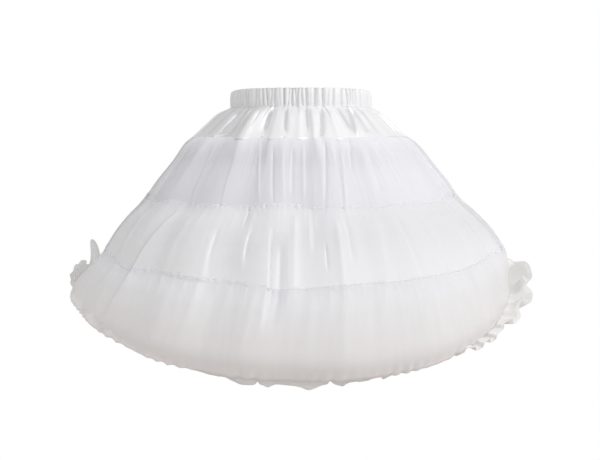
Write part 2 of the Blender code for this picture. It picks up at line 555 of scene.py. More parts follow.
    def crimp_edge(
        self, folds: Folds, height: float, seam: float, lumps: tuple[tuple[float, float], ...]
    ) -> None:
        """Crimps the free heading above a line of stitches, which stands up only here and there.

        Args:
            folds: the crimps, round the skirt.
            height: how deep they are at the free edge.
            seam: how far down the stitches are.
            lumps: where the heading stands up, each an angle and a spread in degrees.
        """
        free = np.clip(1.0 - self.down / seam, 0.0, 1.0)[:, None]
        stands = np.zeros(self.angle.shape)
        for middle, spread in lumps:
            for place in (middle, 360.0 + HIDDEN_TURN - middle):
                off = turned(self.angle - math.radians(place)) / math.radians(spread)
                stands = np.maximum(stands, np.exp(-(off ** 2)))
        wave = folds.wave(self.angle)
        crimped = ALWAYS_CRIMPED + (1.0 - ALWAYS_CRIMPED) * stands
        self.height += height * free ** CRIMP_POWER * (crimped * wave)[None, :]
        self.height += free * (LUMP_HEIGHT * stands)[None, :]
        self.lumps = stands
        curl = stands * np.sin(2.0 * folds.phase(self.angle))
        self.shift += CRIMP_CURL * height * free * curl[None, :]
        self.sway -= free * (LUMP_HEIGHT * stands * (DROOP + wave))[None, :]

    def points(self) -> np.ndarray:
        """The grid with all its creases."""
        moved = self.out * self.height[..., None] + self.around * self.shift[..., None]
        return self.base + moved + self.below * self.sway[..., None]

    def crowding(self) -> np.ndarray:
        """How much more cloth there is at each point than on the plain form.

        Returns:
            The share, from 0 to 1.
        """
        slope = np.abs(np.roll(self.height, -1, axis=1) - np.roll(self.height, 1, axis=1))
        slope = slope * len(self.angle) / (2.0 * TURN * self.scale)
        return 1.0 - 1.0 / np.sqrt(1.0 + (CROWDING * slope) ** 2)


# A closed casing is rolled round a ring of this radius before it is shaped.
CASING_RADIUS = 3.0
SAME_PLACE = 1e-5


def rolled_cloth(
    name: str, points: np.ndarray, downs: np.ndarray, girth: float, closed: bool = False
) -> tuple[bpy.types.Object, np.ndarray, np.ndarray]:
    """Rolls a flat strip into a tube, joins its ends and shapes it by its grid of points.

    Args:
        name: the piece's name.
        points: its places, by row and by column.
        downs: how far down the cloth each row is, in metres.
        girth: the length of the strip that goes round, in metres.
        closed: True where the rows close into a ring, as round a casing.

    Returns:
        The new piece, smooth, with a UV map in metres of flat cloth, and the row and the column
        of each of its vertices.
    """
    rows, columns = points.shape[:2]
    lines = rows if closed else rows - 1
    shape = bmesh.new()
    bmesh.ops.create_grid(shape, x_segments=columns, y_segments=lines, size=1.0)
    for vert in shape.verts:
        turn, fall = (vert.co.x + 1.0) * math.pi, (vert.co.y + 1.0) / 2.0 * lines
        out, height = 1.0, -fall
        if closed:
            out = CASING_RADIUS + math.cos(fall / rows * TURN)
            height = math.sin(fall / rows * TURN)
        vert.co = (out * math.cos(turn), out * math.sin(turn), height)
    ends = [vert for vert in shape.verts if vert.is_boundary]
    bmesh.ops.remove_doubles(shape, verts=ends, dist=SAME_PLACE)
    bmesh.ops.recalc_face_normals(shape, faces=shape.faces)
    mesh = bpy.data.meshes.new(name)
    shape.to_mesh(mesh)
    shape.free()

    place = np.empty(len(mesh.vertices) * 3)
    mesh.vertices.foreach_get("co", place)
    place = place.reshape(-1, 3)
    column = np.rint(np.arctan2(place[:, 1], place[:, 0]) / TURN * columns).astype(int) % columns
    if closed:
        section = np.arctan2(place[:, 2], np.hypot(place[:, 0], place[:, 1]) - CASING_RADIUS)
        row = np.rint(section / TURN * rows).astype(int) % rows
    else:
        row = np.rint(-place[:, 2]).astype(int)
    mesh.vertices.foreach_set("co", points[row, column].ravel())

    corner = np.empty(len(mesh.loops), int)
    mesh.loops.foreach_get("vertex_index", corner)
    around = column[corner].reshape(-1, 4)
    wraps = np.ptp(around, axis=1, keepdims=True) > columns / 2
    around = around + columns * (wraps & (around < columns / 2))
    along = row[corner].reshape(-1, 4)
    if closed:
        wraps = np.ptp(along, axis=1, keepdims=True) > rows / 2
        along = along + rows * (wraps & (along < rows / 2))
    flat = np.stack([around.ravel() / columns * girth, downs[along.ravel()]], axis=-1)
    mesh.uv_layers.new(name="cloth").data.foreach_set("uv", flat.ravel())
    mesh.polygons.foreach_set("use_smooth", np.ones(len(mesh.polygons), bool))
    mesh.update()
    normals = np.empty(len(mesh.polygons) * 3)
    centres = np.empty(len(mesh.polygons) * 3)
    mesh.polygons.foreach_get("normal", normals)
    mesh.polygons.foreach_get("center", centres)
    facing = normals.reshape(-1, 3)[:, :2] * centres.reshape(-1, 3)[:, :2]
    if not closed and facing.sum() < 0:
        mesh.flip_normals()
    piece = bpy.data.objects.new(name, mesh)
    bpy.context.scene.collection.objects.link(piece)
    LOG.info("%s: %d by %d points", name, rows, columns)
    return piece, row, column


# A wave texture's bands lie this many radians apart for each unit of its scale.
WAVE_RATE = 20.0


class NodeBoard:
    """The nodes of one material, added and joined by name."""

    def __init__(self, name: str) -> None:
        """Starts from a Principled shader.

        Args:
            name: the material's name.
        """
        self.material = bpy.data.materials.new(name)
        self.material.use_nodes = True
        self.nodes = self.material.node_tree.nodes
        self.shader = self.nodes["Principled BSDF"]

    def add(self, kind: str, **inputs: object) -> bpy.types.Node:
        """Adds a node of this kind, with its settings and inputs by name.

        Args:
            kind: the node's type, without its ShaderNode prefix.
            inputs: a setting's value, or an input's value or the socket that feeds it. The
                letter i and a number name an input by its place.

        Returns:
            The node.
        """
        node = self.nodes.new("ShaderNode" + kind)
        for name, value in inputs.items():
            if hasattr(node, name):
                setattr(node, name, value)
            elif name[0] == "i" and name[1:].isdigit():
                self.feed(node.inputs[int(name[1:])], value)
            else:
                self.feed(node.inputs[name.replace("_", " ")], value)
        return node

    def feed(self, socket: bpy.types.NodeSocket, value: object) -> None:
        """Sets a socket, or joins another socket to it.

        Args:
            socket: the input.
            value: its value, or the socket that feeds it.
        """
        if isinstance(value, bpy.types.NodeSocket):
            self.material.node_tree.links.new(value, socket)
        else:
            socket.default_value = value

    def sum_of(self, first: object, factor: object, offset: object) -> bpy.types.NodeSocket:
        """The first value times a factor, plus an offset."""
        return self.add("Math", operation="MULTIPLY_ADD", i0=first, i1=factor, i2=offset).outputs[0]

    def streaks(self, across: float, along: float, detail: float = 2.0) -> bpy.types.NodeSocket:
        """Noise drawn out along the cloth.

        Args:
            across: the streaks' usual width, in metres of cloth.
            along: their usual length.
            detail: how fine they break up.

        Returns:
            The streaks, about 0.5.
        """
        flat = self.add("UVMap", uv_map="cloth").outputs[0]
        drawn = self.add("Mapping", Vector=flat, Scale=(1.0 / across, 1.0 / along, 1.0))
        noise = self.add("TexNoise", Vector=drawn.outputs[0], Scale=1.0, Detail=detail)
        return noise.outputs[0]

    def threads(self, pitch: float) -> bpy.types.NodeSocket:
        """A plain weave: threads round and down the cloth.

        Args:
            pitch: how far apart the threads are, in metres.

        Returns:
            The weave, from 0 between the threads to 1.
        """
        flat = self.add("UVMap", uv_map="cloth").outputs[0]
        scale = TURN / WAVE_RATE / pitch
        down = self.add("TexWave", Vector=flat, Scale=scale, bands_direction="X").outputs["Fac"]
        around = self.add("TexWave", Vector=flat, Scale=scale, bands_direction="Y").outputs["Fac"]
        return self.add("Math", operation="MAXIMUM", i0=down, i1=around).outputs[0]


@dataclass(frozen=True)
class ClothFinish:
    """A cloth's look: its colours, its gloss, its threads and how sheer it is.

    Colour and shade are the two that the cloth varies between, in clouds and streaks. Near_seam
    tints it below its upper seam. Deep is the colour of painted shade: it is mixed in by the
    painted_shade attribute, and in crowded creases by crease_painted_shade. Thread is the threads'
    spacing and streak the width and the length of its streaks, in metres. Crepe is the size of the
    finer creping in shares of those. Opacity grows where the cloth is crowded, by fold_opacity, and
    along its streaks.
    """

    name: str
    colour: tuple[float, float, float]
    shade: tuple[float, float, float]
    roughness: float
    sheen: float
    thread: float
    relief: float
    streak: tuple[float, float]
    cloud_scale: float = 9.0
    cloud_share: float = 0.6
    streak_share: float = 0.8
    crepe: tuple[float, float] = (0.45, 0.35)
    crepe_relief: float = 2.0
    specular: float = 0.35
    sheen_roughness: float = 0.45
    roughness_spread: float = 0.16
    bump: float = 0.0004
    opacity: float = 1.0
    least_opacity: float = 0.05
    fold_opacity: float = 0.0
    streak_opacity: float = 0.0
    lustre: float = 0.0
    # Painted shade: how much crowded creases grey towards deep, and deep, the painted shade's colour.
    crease_painted_shade: float = 0.0
    deep: tuple[float, float, float] | None = None
    near_seam: tuple[float, float, float] | None = None

    def material(self) -> bpy.types.Material:
        """Builds the material.

        Returns:
            The material.
        """
        board = NodeBoard(self.name)
        shader = board.shader
        streaks = board.streaks(*self.streak)
        spots = board.add("TexCoord").outputs["Object"]
        clouds = board.add("TexNoise", Vector=spots, Scale=self.cloud_scale, Detail=3.0).outputs[0]
        offset = (1.0 - self.cloud_share - self.streak_share) / 2
        mixed = board.sum_of(clouds, self.cloud_share, board.sum_of(streaks, self.streak_share, offset))
        crowd = board.add("Attribute", attribute_name="crowding").outputs["Fac"]
        colour, shade = (*self.colour, 1.0), (*self.shade, 1.0)
        tint = board.add("Mix", data_type="RGBA", i0=mixed, i6=colour, i7=shade)
        if self.near_seam:
            upper = board.add("Attribute", attribute_name="upper").outputs["Fac"]
            top = (*self.near_seam, 1.0)
            tint = board.add("Mix", data_type="RGBA", i0=upper, i6=tint.outputs[2], i7=top)
        # Painted shade: greys the colour towards deep by the painted_shade attribute and by crowding in
        # creases.
        if self.deep:
            painted_shade = board.add("Attribute", attribute_name="painted_shade").outputs["Fac"]
            painted_shade = board.sum_of(crowd, self.crease_painted_shade, painted_shade)
            deep = (*self.deep, 1.0)
            tint = board.add("Mix", data_type="RGBA", i0=painted_shade, i6=tint.outputs[2], i7=deep)
        board.feed(shader.inputs["Base Color"], tint.outputs[2])
        least = self.roughness - self.roughness_spread / 2
        rough = board.sum_of(streaks, self.roughness_spread, least)
        board.feed(shader.inputs["Roughness"], rough)
        shader.inputs["Specular IOR Level"].default_value = self.specular
        shader.inputs["Metallic"].default_value = self.lustre
        shader.inputs["Sheen Weight"].default_value = self.sheen
        shader.inputs["Sheen Roughness"].default_value = self.sheen_roughness
        threads = board.threads(self.thread)
        across, along = self.streak[0] * self.crepe[0], self.streak[1] * self.crepe[1]
        surface = board.sum_of(board.streaks(across, along, 3.0), self.crepe_relief, threads)
        bump = board.add("Bump", Strength=self.relief, Distance=self.bump, Height=surface)
        board.feed(shader.inputs["Normal"], bump.outputs[0])
        if self.opacity < 1.0:
            solid = board.sum_of(crowd, self.fold_opacity, self.opacity - self.streak_opacity / 2)
            solid = board.sum_of(streaks, self.streak_opacity, solid)
            solid = board.add("Clamp", Value=solid, Min=self.least_opacity, Max=1.0).outputs[0]
            seen = board.add("Attribute", attribute_name="seen").outputs["Fac"]
            board.feed(shader.inputs["Alpha"], board.sum_of(solid, seen, 0.0))
        return board.material


BAND_SATIN = ClothFinish(
    name="ruched_satin",
    colour=(0.900, 0.915, 0.928),
    shade=(0.835, 0.850, 0.862),
    roughness=0.38,
    sheen=0.15,
    thread=0.00045,
    relief=0.20,
    streak=(0.004, 0.05),
    lustre=0.12,
)
YOKE_SATIN = ClothFinish(
    name="yoke_satin",
    colour=(0.960, 0.960, 0.970),
    shade=(0.92, 0.92, 0.935),
    roughness=0.42,
    sheen=0.10,
    thread=0.00040,
    relief=0.15,
    streak=(0.010, 0.09),
    lustre=0.45,
    # Painted shade: the yoke's creases grey towards deep where the cloth crowds, as do its Shades.
    crease_painted_shade=0.85,
    deep=(0.68, 0.68, 0.69),
)
LINING = ClothFinish(
    name="lining_satin",
    colour=(0.93, 0.93, 0.945),
    shade=(0.90, 0.90, 0.92),
    roughness=0.55,
    sheen=0.10,
    thread=0.00045,
    relief=0.15,
    streak=(0.020, 0.12),
)
ORGANZA = ClothFinish(
    name="sheer_organza",
    colour=(0.930, 0.940, 0.972),
    shade=(0.890, 0.900, 0.932),
    roughness=0.50,
    sheen=0.20,
    thread=0.00050,
    relief=0.20,
    streak=(0.0055, 0.12),
    opacity=0.46,
    fold_opacity=0.50,
    streak_opacity=0.08,
    # The colour of the painted shade in the tiers' Shades.
    deep=(0.70, 0.70, 0.72),
)
FOGGY_ORGANZA = replace(
    ORGANZA,
    name="foggy_organza",
    colour=(0.970, 0.976, 0.992),
    shade=(0.938, 0.945, 0.962),
    opacity=0.60,
    streak_opacity=0.05,
)
SOFT_TULLE = ClothFinish(
    name="soft_tulle",
    colour=(0.957, 0.957, 0.962),
    shade=(0.917, 0.917, 0.917),
    roughness=0.85,
    sheen=0.35,
    thread=0.00110,
    relief=0.25,
    streak=(0.014, 0.07),
    opacity=0.68,
    fold_opacity=0.40,
    streak_opacity=0.08,
    # The colour of the painted shade in the flounce's Shade.
    deep=(0.70, 0.70, 0.70),
    near_seam=(0.950, 0.960, 0.988),
)
CRISP_TULLE = ClothFinish(
    name="crisp_tulle",
    colour=(0.935, 0.935, 0.920),
    shade=(0.88, 0.88, 0.865),
    roughness=0.65,
    sheen=0.20,
    thread=0.00100,
    relief=0.30,
    streak=(0.006, 0.03),
    opacity=0.74,
    fold_opacity=0.20,
    streak_opacity=0.12,
)


def spaced_rows(length: float, heading: float, fine: int, rows: int) -> np.ndarray:
    """Rows down a piece of cloth, closer together in its heading.

    Args:
        length: the cloth's length.
        heading: the heading's height.
        fine: how many rows the heading has.
        rows: how many rows the rest has.

    Returns:
        Shares of the length.
    """
    stitched = heading / length
    top = np.linspace(0.0, stitched, fine, endpoint=False)
    return np.concatenate([top, np.linspace(stitched, 1.0, rows)])


@dataclass
class ClothPiece:
    """One strip of cloth, sewn into a tube, and the solid that it replaces.

    Wall is the cloth's thickness and flat its flat width and height. Packed and fog are how much
    denser the cloth looks near its seam and towards its edge. It fades in over so many metres
    from its upper edge. Above is how far the edge of the piece above stands out, and edge is how
    far this one's does, once it is built.
    """

    name: str
    node: str
    slot: str
    finish: ClothFinish
    columns: int
    rows: int
    flat: tuple[float, float]
    rests_on: tuple[str, ...]
    rings: tuple[Ring, ...] = ()
    wall: float = 0.0004
    held: Held = Held.GATHERED
    heading: float = 0.0
    heading_rows: int = 6
    packed: float = 0.0
    packed_reach: float = 0.45
    fog: float = 0.0
    fog_start: float = 0.35
    tint_reach: float = 0.65
    fades_in: float = 0.0
    lump_shows: float = 0.8
    # Stretches where shade is painted into the cloth.
    shades: tuple[Shade, ...] = ()
    above: np.ndarray | None = None
    edge: np.ndarray | None = None

    def form(self) -> ClothGrid:
        """The plain grid on the piece's rings.

        Returns:
            The grid, with closer rows where the piece has a heading.
        """
        plain = ClothGrid(self.rings, 8, np.linspace(0.0, 1.0, 8))
        if self.heading:
            downs = spaced_rows(plain.length, self.heading, self.heading_rows, self.rows)
        else:
            downs = np.linspace(0.0, 1.0, self.rows)
        return ClothGrid(self.rings, self.columns, downs)

    def fold(self, grid: ClothGrid) -> None:
        """Lays the piece's folds on its grid. Each kind of piece has its own."""

    def notes(self, grid: ClothGrid) -> dict[str, np.ndarray]:
        """What the finish has to know at each point of the cloth.

        Args:
            grid: the piece's grid, with its folds.

        Returns:
            How crowded the cloth is, how much of it is seen, how much painted shade it gets and how
            near its upper seam, by row and by column.
        """
        crowded = self.packed * (1.0 - smooth_step(grid.share / self.packed_reach))
        foggy = smooth_step((grid.share - self.fog_start) / (1.0 - self.fog_start))
        crowded = (crowded + self.fog * foggy)[:, None] + grid.crowding()
        plain = np.zeros(crowded.shape)
        seen = plain + 1.0
        if self.fades_in:
            shown = smooth_step(grid.down / self.fades_in)[:, None]
            seen = np.maximum(shown, self.lump_shows * grid.lumps * (grid.down > 0.0)[:, None])
        # Painted shade: the piece's Shades, summed.
        painted_shade = sum((shade.at(grid) for shade in self.shades), plain)
        upper = 1.0 - smooth_step(grid.share / self.tint_reach)[:, None] + plain
        return {"crowding": crowded, "seen": seen, "painted_shade": painted_shade, "upper": upper}

    def build(self) -> bpy.types.Object:
        """Returns:
            The finished piece.
        """
        grid = self.form()
        self.fold(grid)
        self.edge = grid.edge()
        grid.height += CAD_WALL / 2
        piece, row, column = rolled_cloth(self.name, grid.points(), grid.down, self.flat[0])
        for name, values in self.notes(grid).items():
            values = values[row, column]
            piece.data.attributes.new(name, "FLOAT", "POINT").data.foreach_set("value", values)
        wall = piece.modifiers.new("wall", "SOLIDIFY")
        wall.thickness = self.wall
        wall.offset = 0.0
        wall.use_even_offset = False
        return self.dress(piece)

    def dress(self, piece: bpy.types.Object) -> bpy.types.Object:
        """Gives the piece its finish, hangs it from the root and hides the solid that it replaces.

        Args:
            piece: the piece's mesh object.

        Returns:
            The same object, dressed.
        """
        piece.data.materials.append(self.finish.material())
        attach(piece, "root")
        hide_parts(self.node)
        return piece


def uneven_angles(count: int, unevenness: float, seed: int) -> np.ndarray:
    """Angles round the skirt at uneven steps.

    Args:
        count: how many.
        unevenness: how much the steps differ, from 0 to 1.
        seed: the draw's seed.

    Returns:
        The angles in degrees, rising.
    """
    steps = 1.0 + unevenness * np.random.default_rng(seed).uniform(-1.0, 1.0, count)
    return np.cumsum(steps) / steps.sum() * 360.0


PINCHES = uneven_angles(62, 0.55, 14)


@dataclass
class Waistband(ClothPiece):
    """The elastic in its ruched casing: a flat closed sleeve, pinched into puffs all round.

    The creases between the puffs are of two kinds: strong ones, and slighter ones between them.
    They are deeper and wider where they crowd at the front. Where two creases meet, the lesser one
    adds a share of itself, joined. Roundness is the power on which the casing's section closes at
    its edges: in its thickness, in its creases' depth and in its height.
    """

    name: str = "ruched_waistband"
    node: str = "waistband"
    slot: str = "band_satin"
    finish: ClothFinish = BAND_SATIN
    columns: int = 1400
    rows: int = 28
    flat: tuple[float, float] = (0.78, 0.030)
    rests_on: tuple[str, ...] = ("yoke",)
    inside_width: tuple[float, float] = (0.1046, 0.1053)
    inside_depth: tuple[float, float] = (0.0835, 0.0840)
    mean_radius: float = 0.096
    half_height: float = 0.0134
    thickness: float = 0.0036
    least_thickness: float = 0.0004
    stitches: float = 0.0104
    stitch_width: float = 0.0009
    stitch_depth: float = 0.0005
    dip: float = 0.0040
    face_bite: float = 0.0036
    inner_bite: float = -0.0010
    edge_bite: float = 0.075
    crease_depths: tuple[float, float] = (0.60, 1.0)
    crease_width: float = 0.0017
    slight_crease_depths: tuple[float, float] = (0.0, 0.70)
    slight_crease_width: float = 0.0012
    crease_widths: tuple[float, float] = (0.7, 1.5)
    crease_lean: float = 0.06
    crease_bow: float = 0.0007
    joined: float = 0.25
    crowd_middle: float = 268.0
    crowd_spread: float = 22.0
    crowd_depth: float = 0.65
    crowd_width: float = 0.5
    roundness: tuple[float, float, float] = (0.5, 0.35, 0.85)
    edge_power: int = 5
    usual_pinch: float = 0.25
    dip_power: int = 14
    seed: int = 15

    def pinched(self, angle: np.ndarray, high: np.ndarray) -> np.ndarray:
        """How deep the creases between the puffs are: 1 is a strong one away from the crowd.

        Args:
            angle: the columns' angles.
            high: the rows' heights.

        Returns:
            The depth by row and by column.
        """
        draw = np.random.default_rng(self.seed)
        deep = np.zeros((len(high), len(angle)))
        between = (PINCHES + np.roll(PINCHES, 1)) / 2.0 + 180.0 * (np.arange(len(PINCHES)) == 0)
        strong = (PINCHES, self.crease_depths, self.crease_width)
        slight = (between, self.slight_crease_depths, self.slight_crease_width)
        for centres, depths, wide in (strong, slight):
            for centre in centres:
                crowd = math.exp(-(((centre - self.crowd_middle) / self.crowd_spread) ** 2))
                size = draw.uniform(*depths) * (1.0 + self.crowd_depth * crowd)
                width = wide * draw.uniform(*self.crease_widths) * (1.0 + self.crowd_width * crowd)
                lean = draw.normal() * self.crease_lean
                bow = draw.normal() * self.crease_bow
                line = lean * high + bow * (1.0 - (high / self.half_height) ** 2)
                past = turned(angle[None, :] - math.radians(centre))
                groove = size * Profile.SHARP.at((past * self.mean_radius - line[:, None]) / width)
                deep = np.maximum(deep, groove) + self.joined * np.minimum(deep, groove)
        return deep

    def wall_out(self, high: np.ndarray, cosine: np.ndarray, deep: np.ndarray) -> np.ndarray:
        """How far the casing's two walls lie outside its inside oval.

        Args:
            high: the rows' heights.
            cosine: 1 on the outer face, -1 inside and 0 at the folded edges, by row.
            deep: how deep the creases are, by row and by column.

        Returns:
            The distances. The inner wall gives way where a crease would reach it.
        """
        in_thickness, in_depth, _in_height = self.roundness
        thick = self.thickness / 2 * (1.0 + np.sign(cosine) * np.abs(cosine) ** in_thickness)
        stitched = np.exp(-(((np.abs(high) - self.stitches) / self.stitch_width) ** 2))
        stitched = self.stitch_depth * stitched * (cosine > 0.0)
        bite = np.where(cosine > 0.0, self.face_bite, self.inner_bite) * np.abs(cosine) ** in_depth
        out = (thick - stitched)[:, None] - bite[:, None] * deep
        opposite = out[(self.rows // 2 - np.arange(self.rows)) % self.rows]
        least = self.least_thickness * np.sqrt(np.abs(cosine))[:, None]
        return np.where(cosine[:, None] < 0.0, np.minimum(out, opposite - least), out)

    def build(self) -> bpy.types.Object:
        """Makes the casing, deeply pinched on its face and less so inside.

        Returns:
            The finished piece.
        """
        section = np.arange(self.rows) / self.rows * TURN
        angle = np.arange(self.columns) / self.columns * TURN
        sine = np.sin(section)
        high = self.half_height * np.sign(sine) * np.abs(sine) ** self.roundness[2]
        deep = self.pinched(angle, high)
        out = self.wall_out(high, np.cos(section), deep)
        edge = np.abs(high / self.half_height)[:, None] ** self.edge_power
        heights = high[:, None] * (1.0 - self.edge_bite * edge * (deep - self.usual_pinch))
        upper = smooth_step(high / self.half_height)[:, None]
        heights = heights - self.dip * upper * np.abs(np.cos(angle)) ** self.dip_power
        lower = ((self.half_height - high) / (2 * self.half_height))[:, None]
        wide = self.inside_width[0] + (self.inside_width[1] - self.inside_width[0]) * lower
        far = self.inside_depth[0] + (self.inside_depth[1] - self.inside_depth[0]) * lower
        plan = np.stack([np.cos(angle) / wide, np.sin(angle) / far], axis=-1)
        plan /= np.linalg.norm(plan, axis=-1, keepdims=True)
        across = wide * np.cos(angle) + plan[..., 0] * out
        forward = far * np.sin(angle) + plan[..., 1] * out
        points = np.stack([across, forward, heights], axis=-1)
        downs = np.arange(self.rows + 1) / self.rows * 2 * self.flat[1]
        piece, _row, _column = rolled_cloth(self.name, points, downs, self.flat[0], closed=True)
        return self.dress(piece)


@dataclass
class Yoke(ClothPiece):
    """The wide satin strip that is gathered into the band and fans out over the hips.

    The front's creases are given one by one between two angles. Elsewhere a trough and, past it, a
    ridge are drawn again and again, and under each crease of the band there is a small pinch.
    """

    name: str = "gathered_yoke"
    node: str = "yoke"
    slot: str = "yoke_satin"
    finish: ClothFinish = YOKE_SATIN
    columns: int = 1080
    rows: int = 26
    flat: tuple[float, float] = (0.95, 0.082)
    rests_on: tuple[str, ...] = ("waistband",)
    rings: tuple[Ring, ...] = YOKE_RINGS
    wall: float = 0.0005
    # Painted shade: greys the yoke's left side and the same place at the back, where light falls less,
    # and its right a little.
    shades: tuple[Shade, ...] = (
        Shade(216.0, 27.0, 0.66),
        Shade(130.0, 22.0, 0.4),
        Shade(325.0, 26.0, 0.12),
    )
    creases: tuple[Crease, ...] = (
        Crease(231.0, 1.5, 0.02, 0.95, +0.0034, 0.0018, widen=0.0),
        Crease(234.5, 1.0, 0.02, 0.95, -0.0034, 0.0040, widen=0.8),
        Crease(240.0, 0.5, 0.05, 1.40, +0.0046, 0.0075, widen=0.6),
        Crease(249.0, 2.0, 0.02, 0.98, -0.0062, 0.0036, 0.3, 0.6, Profile.SHARP),
        Crease(255.0, 1.5, 0.05, 1.40, +0.0034, 0.0060, widen=0.6),
        Crease(259.3, 3.6, 0.02, 0.98, -0.0058, 0.0032, 0.0, 0.6, Profile.SHARP),
        Crease(269.0, 0.0, 0.05, 1.40, +0.0034, 0.0085, widen=0.6),
        Crease(273.5, -0.5, 0.02, 0.90, -0.0030, 0.0022, 0.0, 0.5, Profile.SHARP),
        Crease(277.5, -1.0, 0.05, 1.40, +0.0026, 0.0040, widen=0.6),
        Crease(285.0, -5.6, 0.02, 1.20, -0.0064, 0.0034, 0.0, 0.6, Profile.SHARP),
        Crease(289.5, -1.5, 0.05, 1.40, +0.0034, 0.0072, widen=0.6),
        Crease(296.5, 0.0, 0.02, 0.90, -0.0034, 0.0034, widen=0.6),
        Crease(304.5, -7.0, 0.02, 1.00, +0.0042, 0.0022, 0.5, 0.6),
        Crease(309.0, 0.0, 0.04, 0.95, -0.0074, 0.0060, 0.0, 0.7),
        Crease(317.5, -2.0, 0.05, 1.20, +0.0028, 0.0030, widen=0.8),
        Crease(221.5, 0.0, 0.00, 1.30, -0.0060, 0.0150, widen=1.0),
        Crease(226.5, 0.5, 0.02, 0.95, -0.0034, 0.0030, 0.0, 0.7, Profile.SHARP),
        Crease(219.0, -1.0, 0.02, 1.05, -0.0040, 0.0034, 0.0, 0.7, Profile.SHARP),
    )
    placed: tuple[float, float] = (216.0, 318.0)
    drawn_creases: int = 30
    drawn_unevenness: float = 0.35
    drawn_depths: tuple[float, float] = (0.002, 0.005)
    drawn_ends: tuple[float, float] = (0.85, 1.05)
    drawn_drift: float = 2.5
    drawn_trough: Crease = Crease(0.0, 0.0, 0.02, 1.0, -1.0, 0.0034, 0.0, 0.7, Profile.SHARP)
    drawn_ridge: Crease = Crease(0.0, 0.0, 0.05, 1.4, 1.0, 0.0080, widen=0.7)
    ridge_past: float = 6.0
    pinch_depths: tuple[float, float] = (0.0006, 0.0018)
    pinch_ends: tuple[float, float] = (0.30, 0.80)
    pinch: Crease = Crease(0.0, 0.0, -0.30, 1.0, -1.0, 0.0016, 0.0, 0.6, Profile.SHARP)
    seeds: tuple[int, int] = (8, 9)
    scallop: float = 1.1
    scallop_from: float = 0.55
    scallop_read: float = 0.72
    scallop_range: tuple[float, float] = (-0.0040, 0.0030)
    swells: tuple[Swell, ...] = (
        Swell(350.0, 38.0, 0.75, 0.45, out=-0.0060),
        Swell(190.0, 34.0, 0.75, 0.45, out=-0.0025),
    )

    def fold(self, grid: ClothGrid) -> None:
        """Lays the folds that fan out from the band, and dips the loose edge under each puff.

        Args:
            grid: the piece's plain grid.
        """
        for crease in self.creases:
            grid.add_crease(crease)
        draw = np.random.default_rng(self.seeds[0])
        for angle in uneven_angles(self.drawn_creases, self.drawn_unevenness, self.seeds[1]):
            if not self.placed[0] < angle < self.placed[1]:
                deep = draw.uniform(*self.drawn_depths)
                drift, end = draw.normal() * self.drawn_drift, draw.uniform(*self.drawn_ends)
                trough = replace(self.drawn_trough, angle=angle, drift=drift, end=end)
                grid.add_crease(replace(trough, height=-deep))
                ridge = replace(self.drawn_ridge, angle=angle + self.ridge_past, drift=drift)
                grid.add_crease(replace(ridge, height=deep / 2))
        for angle in PINCHES:
            deep, end = draw.uniform(*self.pinch_depths), draw.uniform(*self.pinch_ends)
            grid.add_crease(replace(self.pinch, angle=angle, end=end, height=-deep))
        loose = smooth_step((grid.share - self.scallop_from) / (1.0 - self.scallop_from))
        hang = grid.height[np.searchsorted(grid.share, self.scallop_read)]
        grid.sway += loose[:, None] * self.scallop * np.clip(hang, *self.scallop_range)[None, :]
        for swell in self.swells:
            grid.swell(swell)


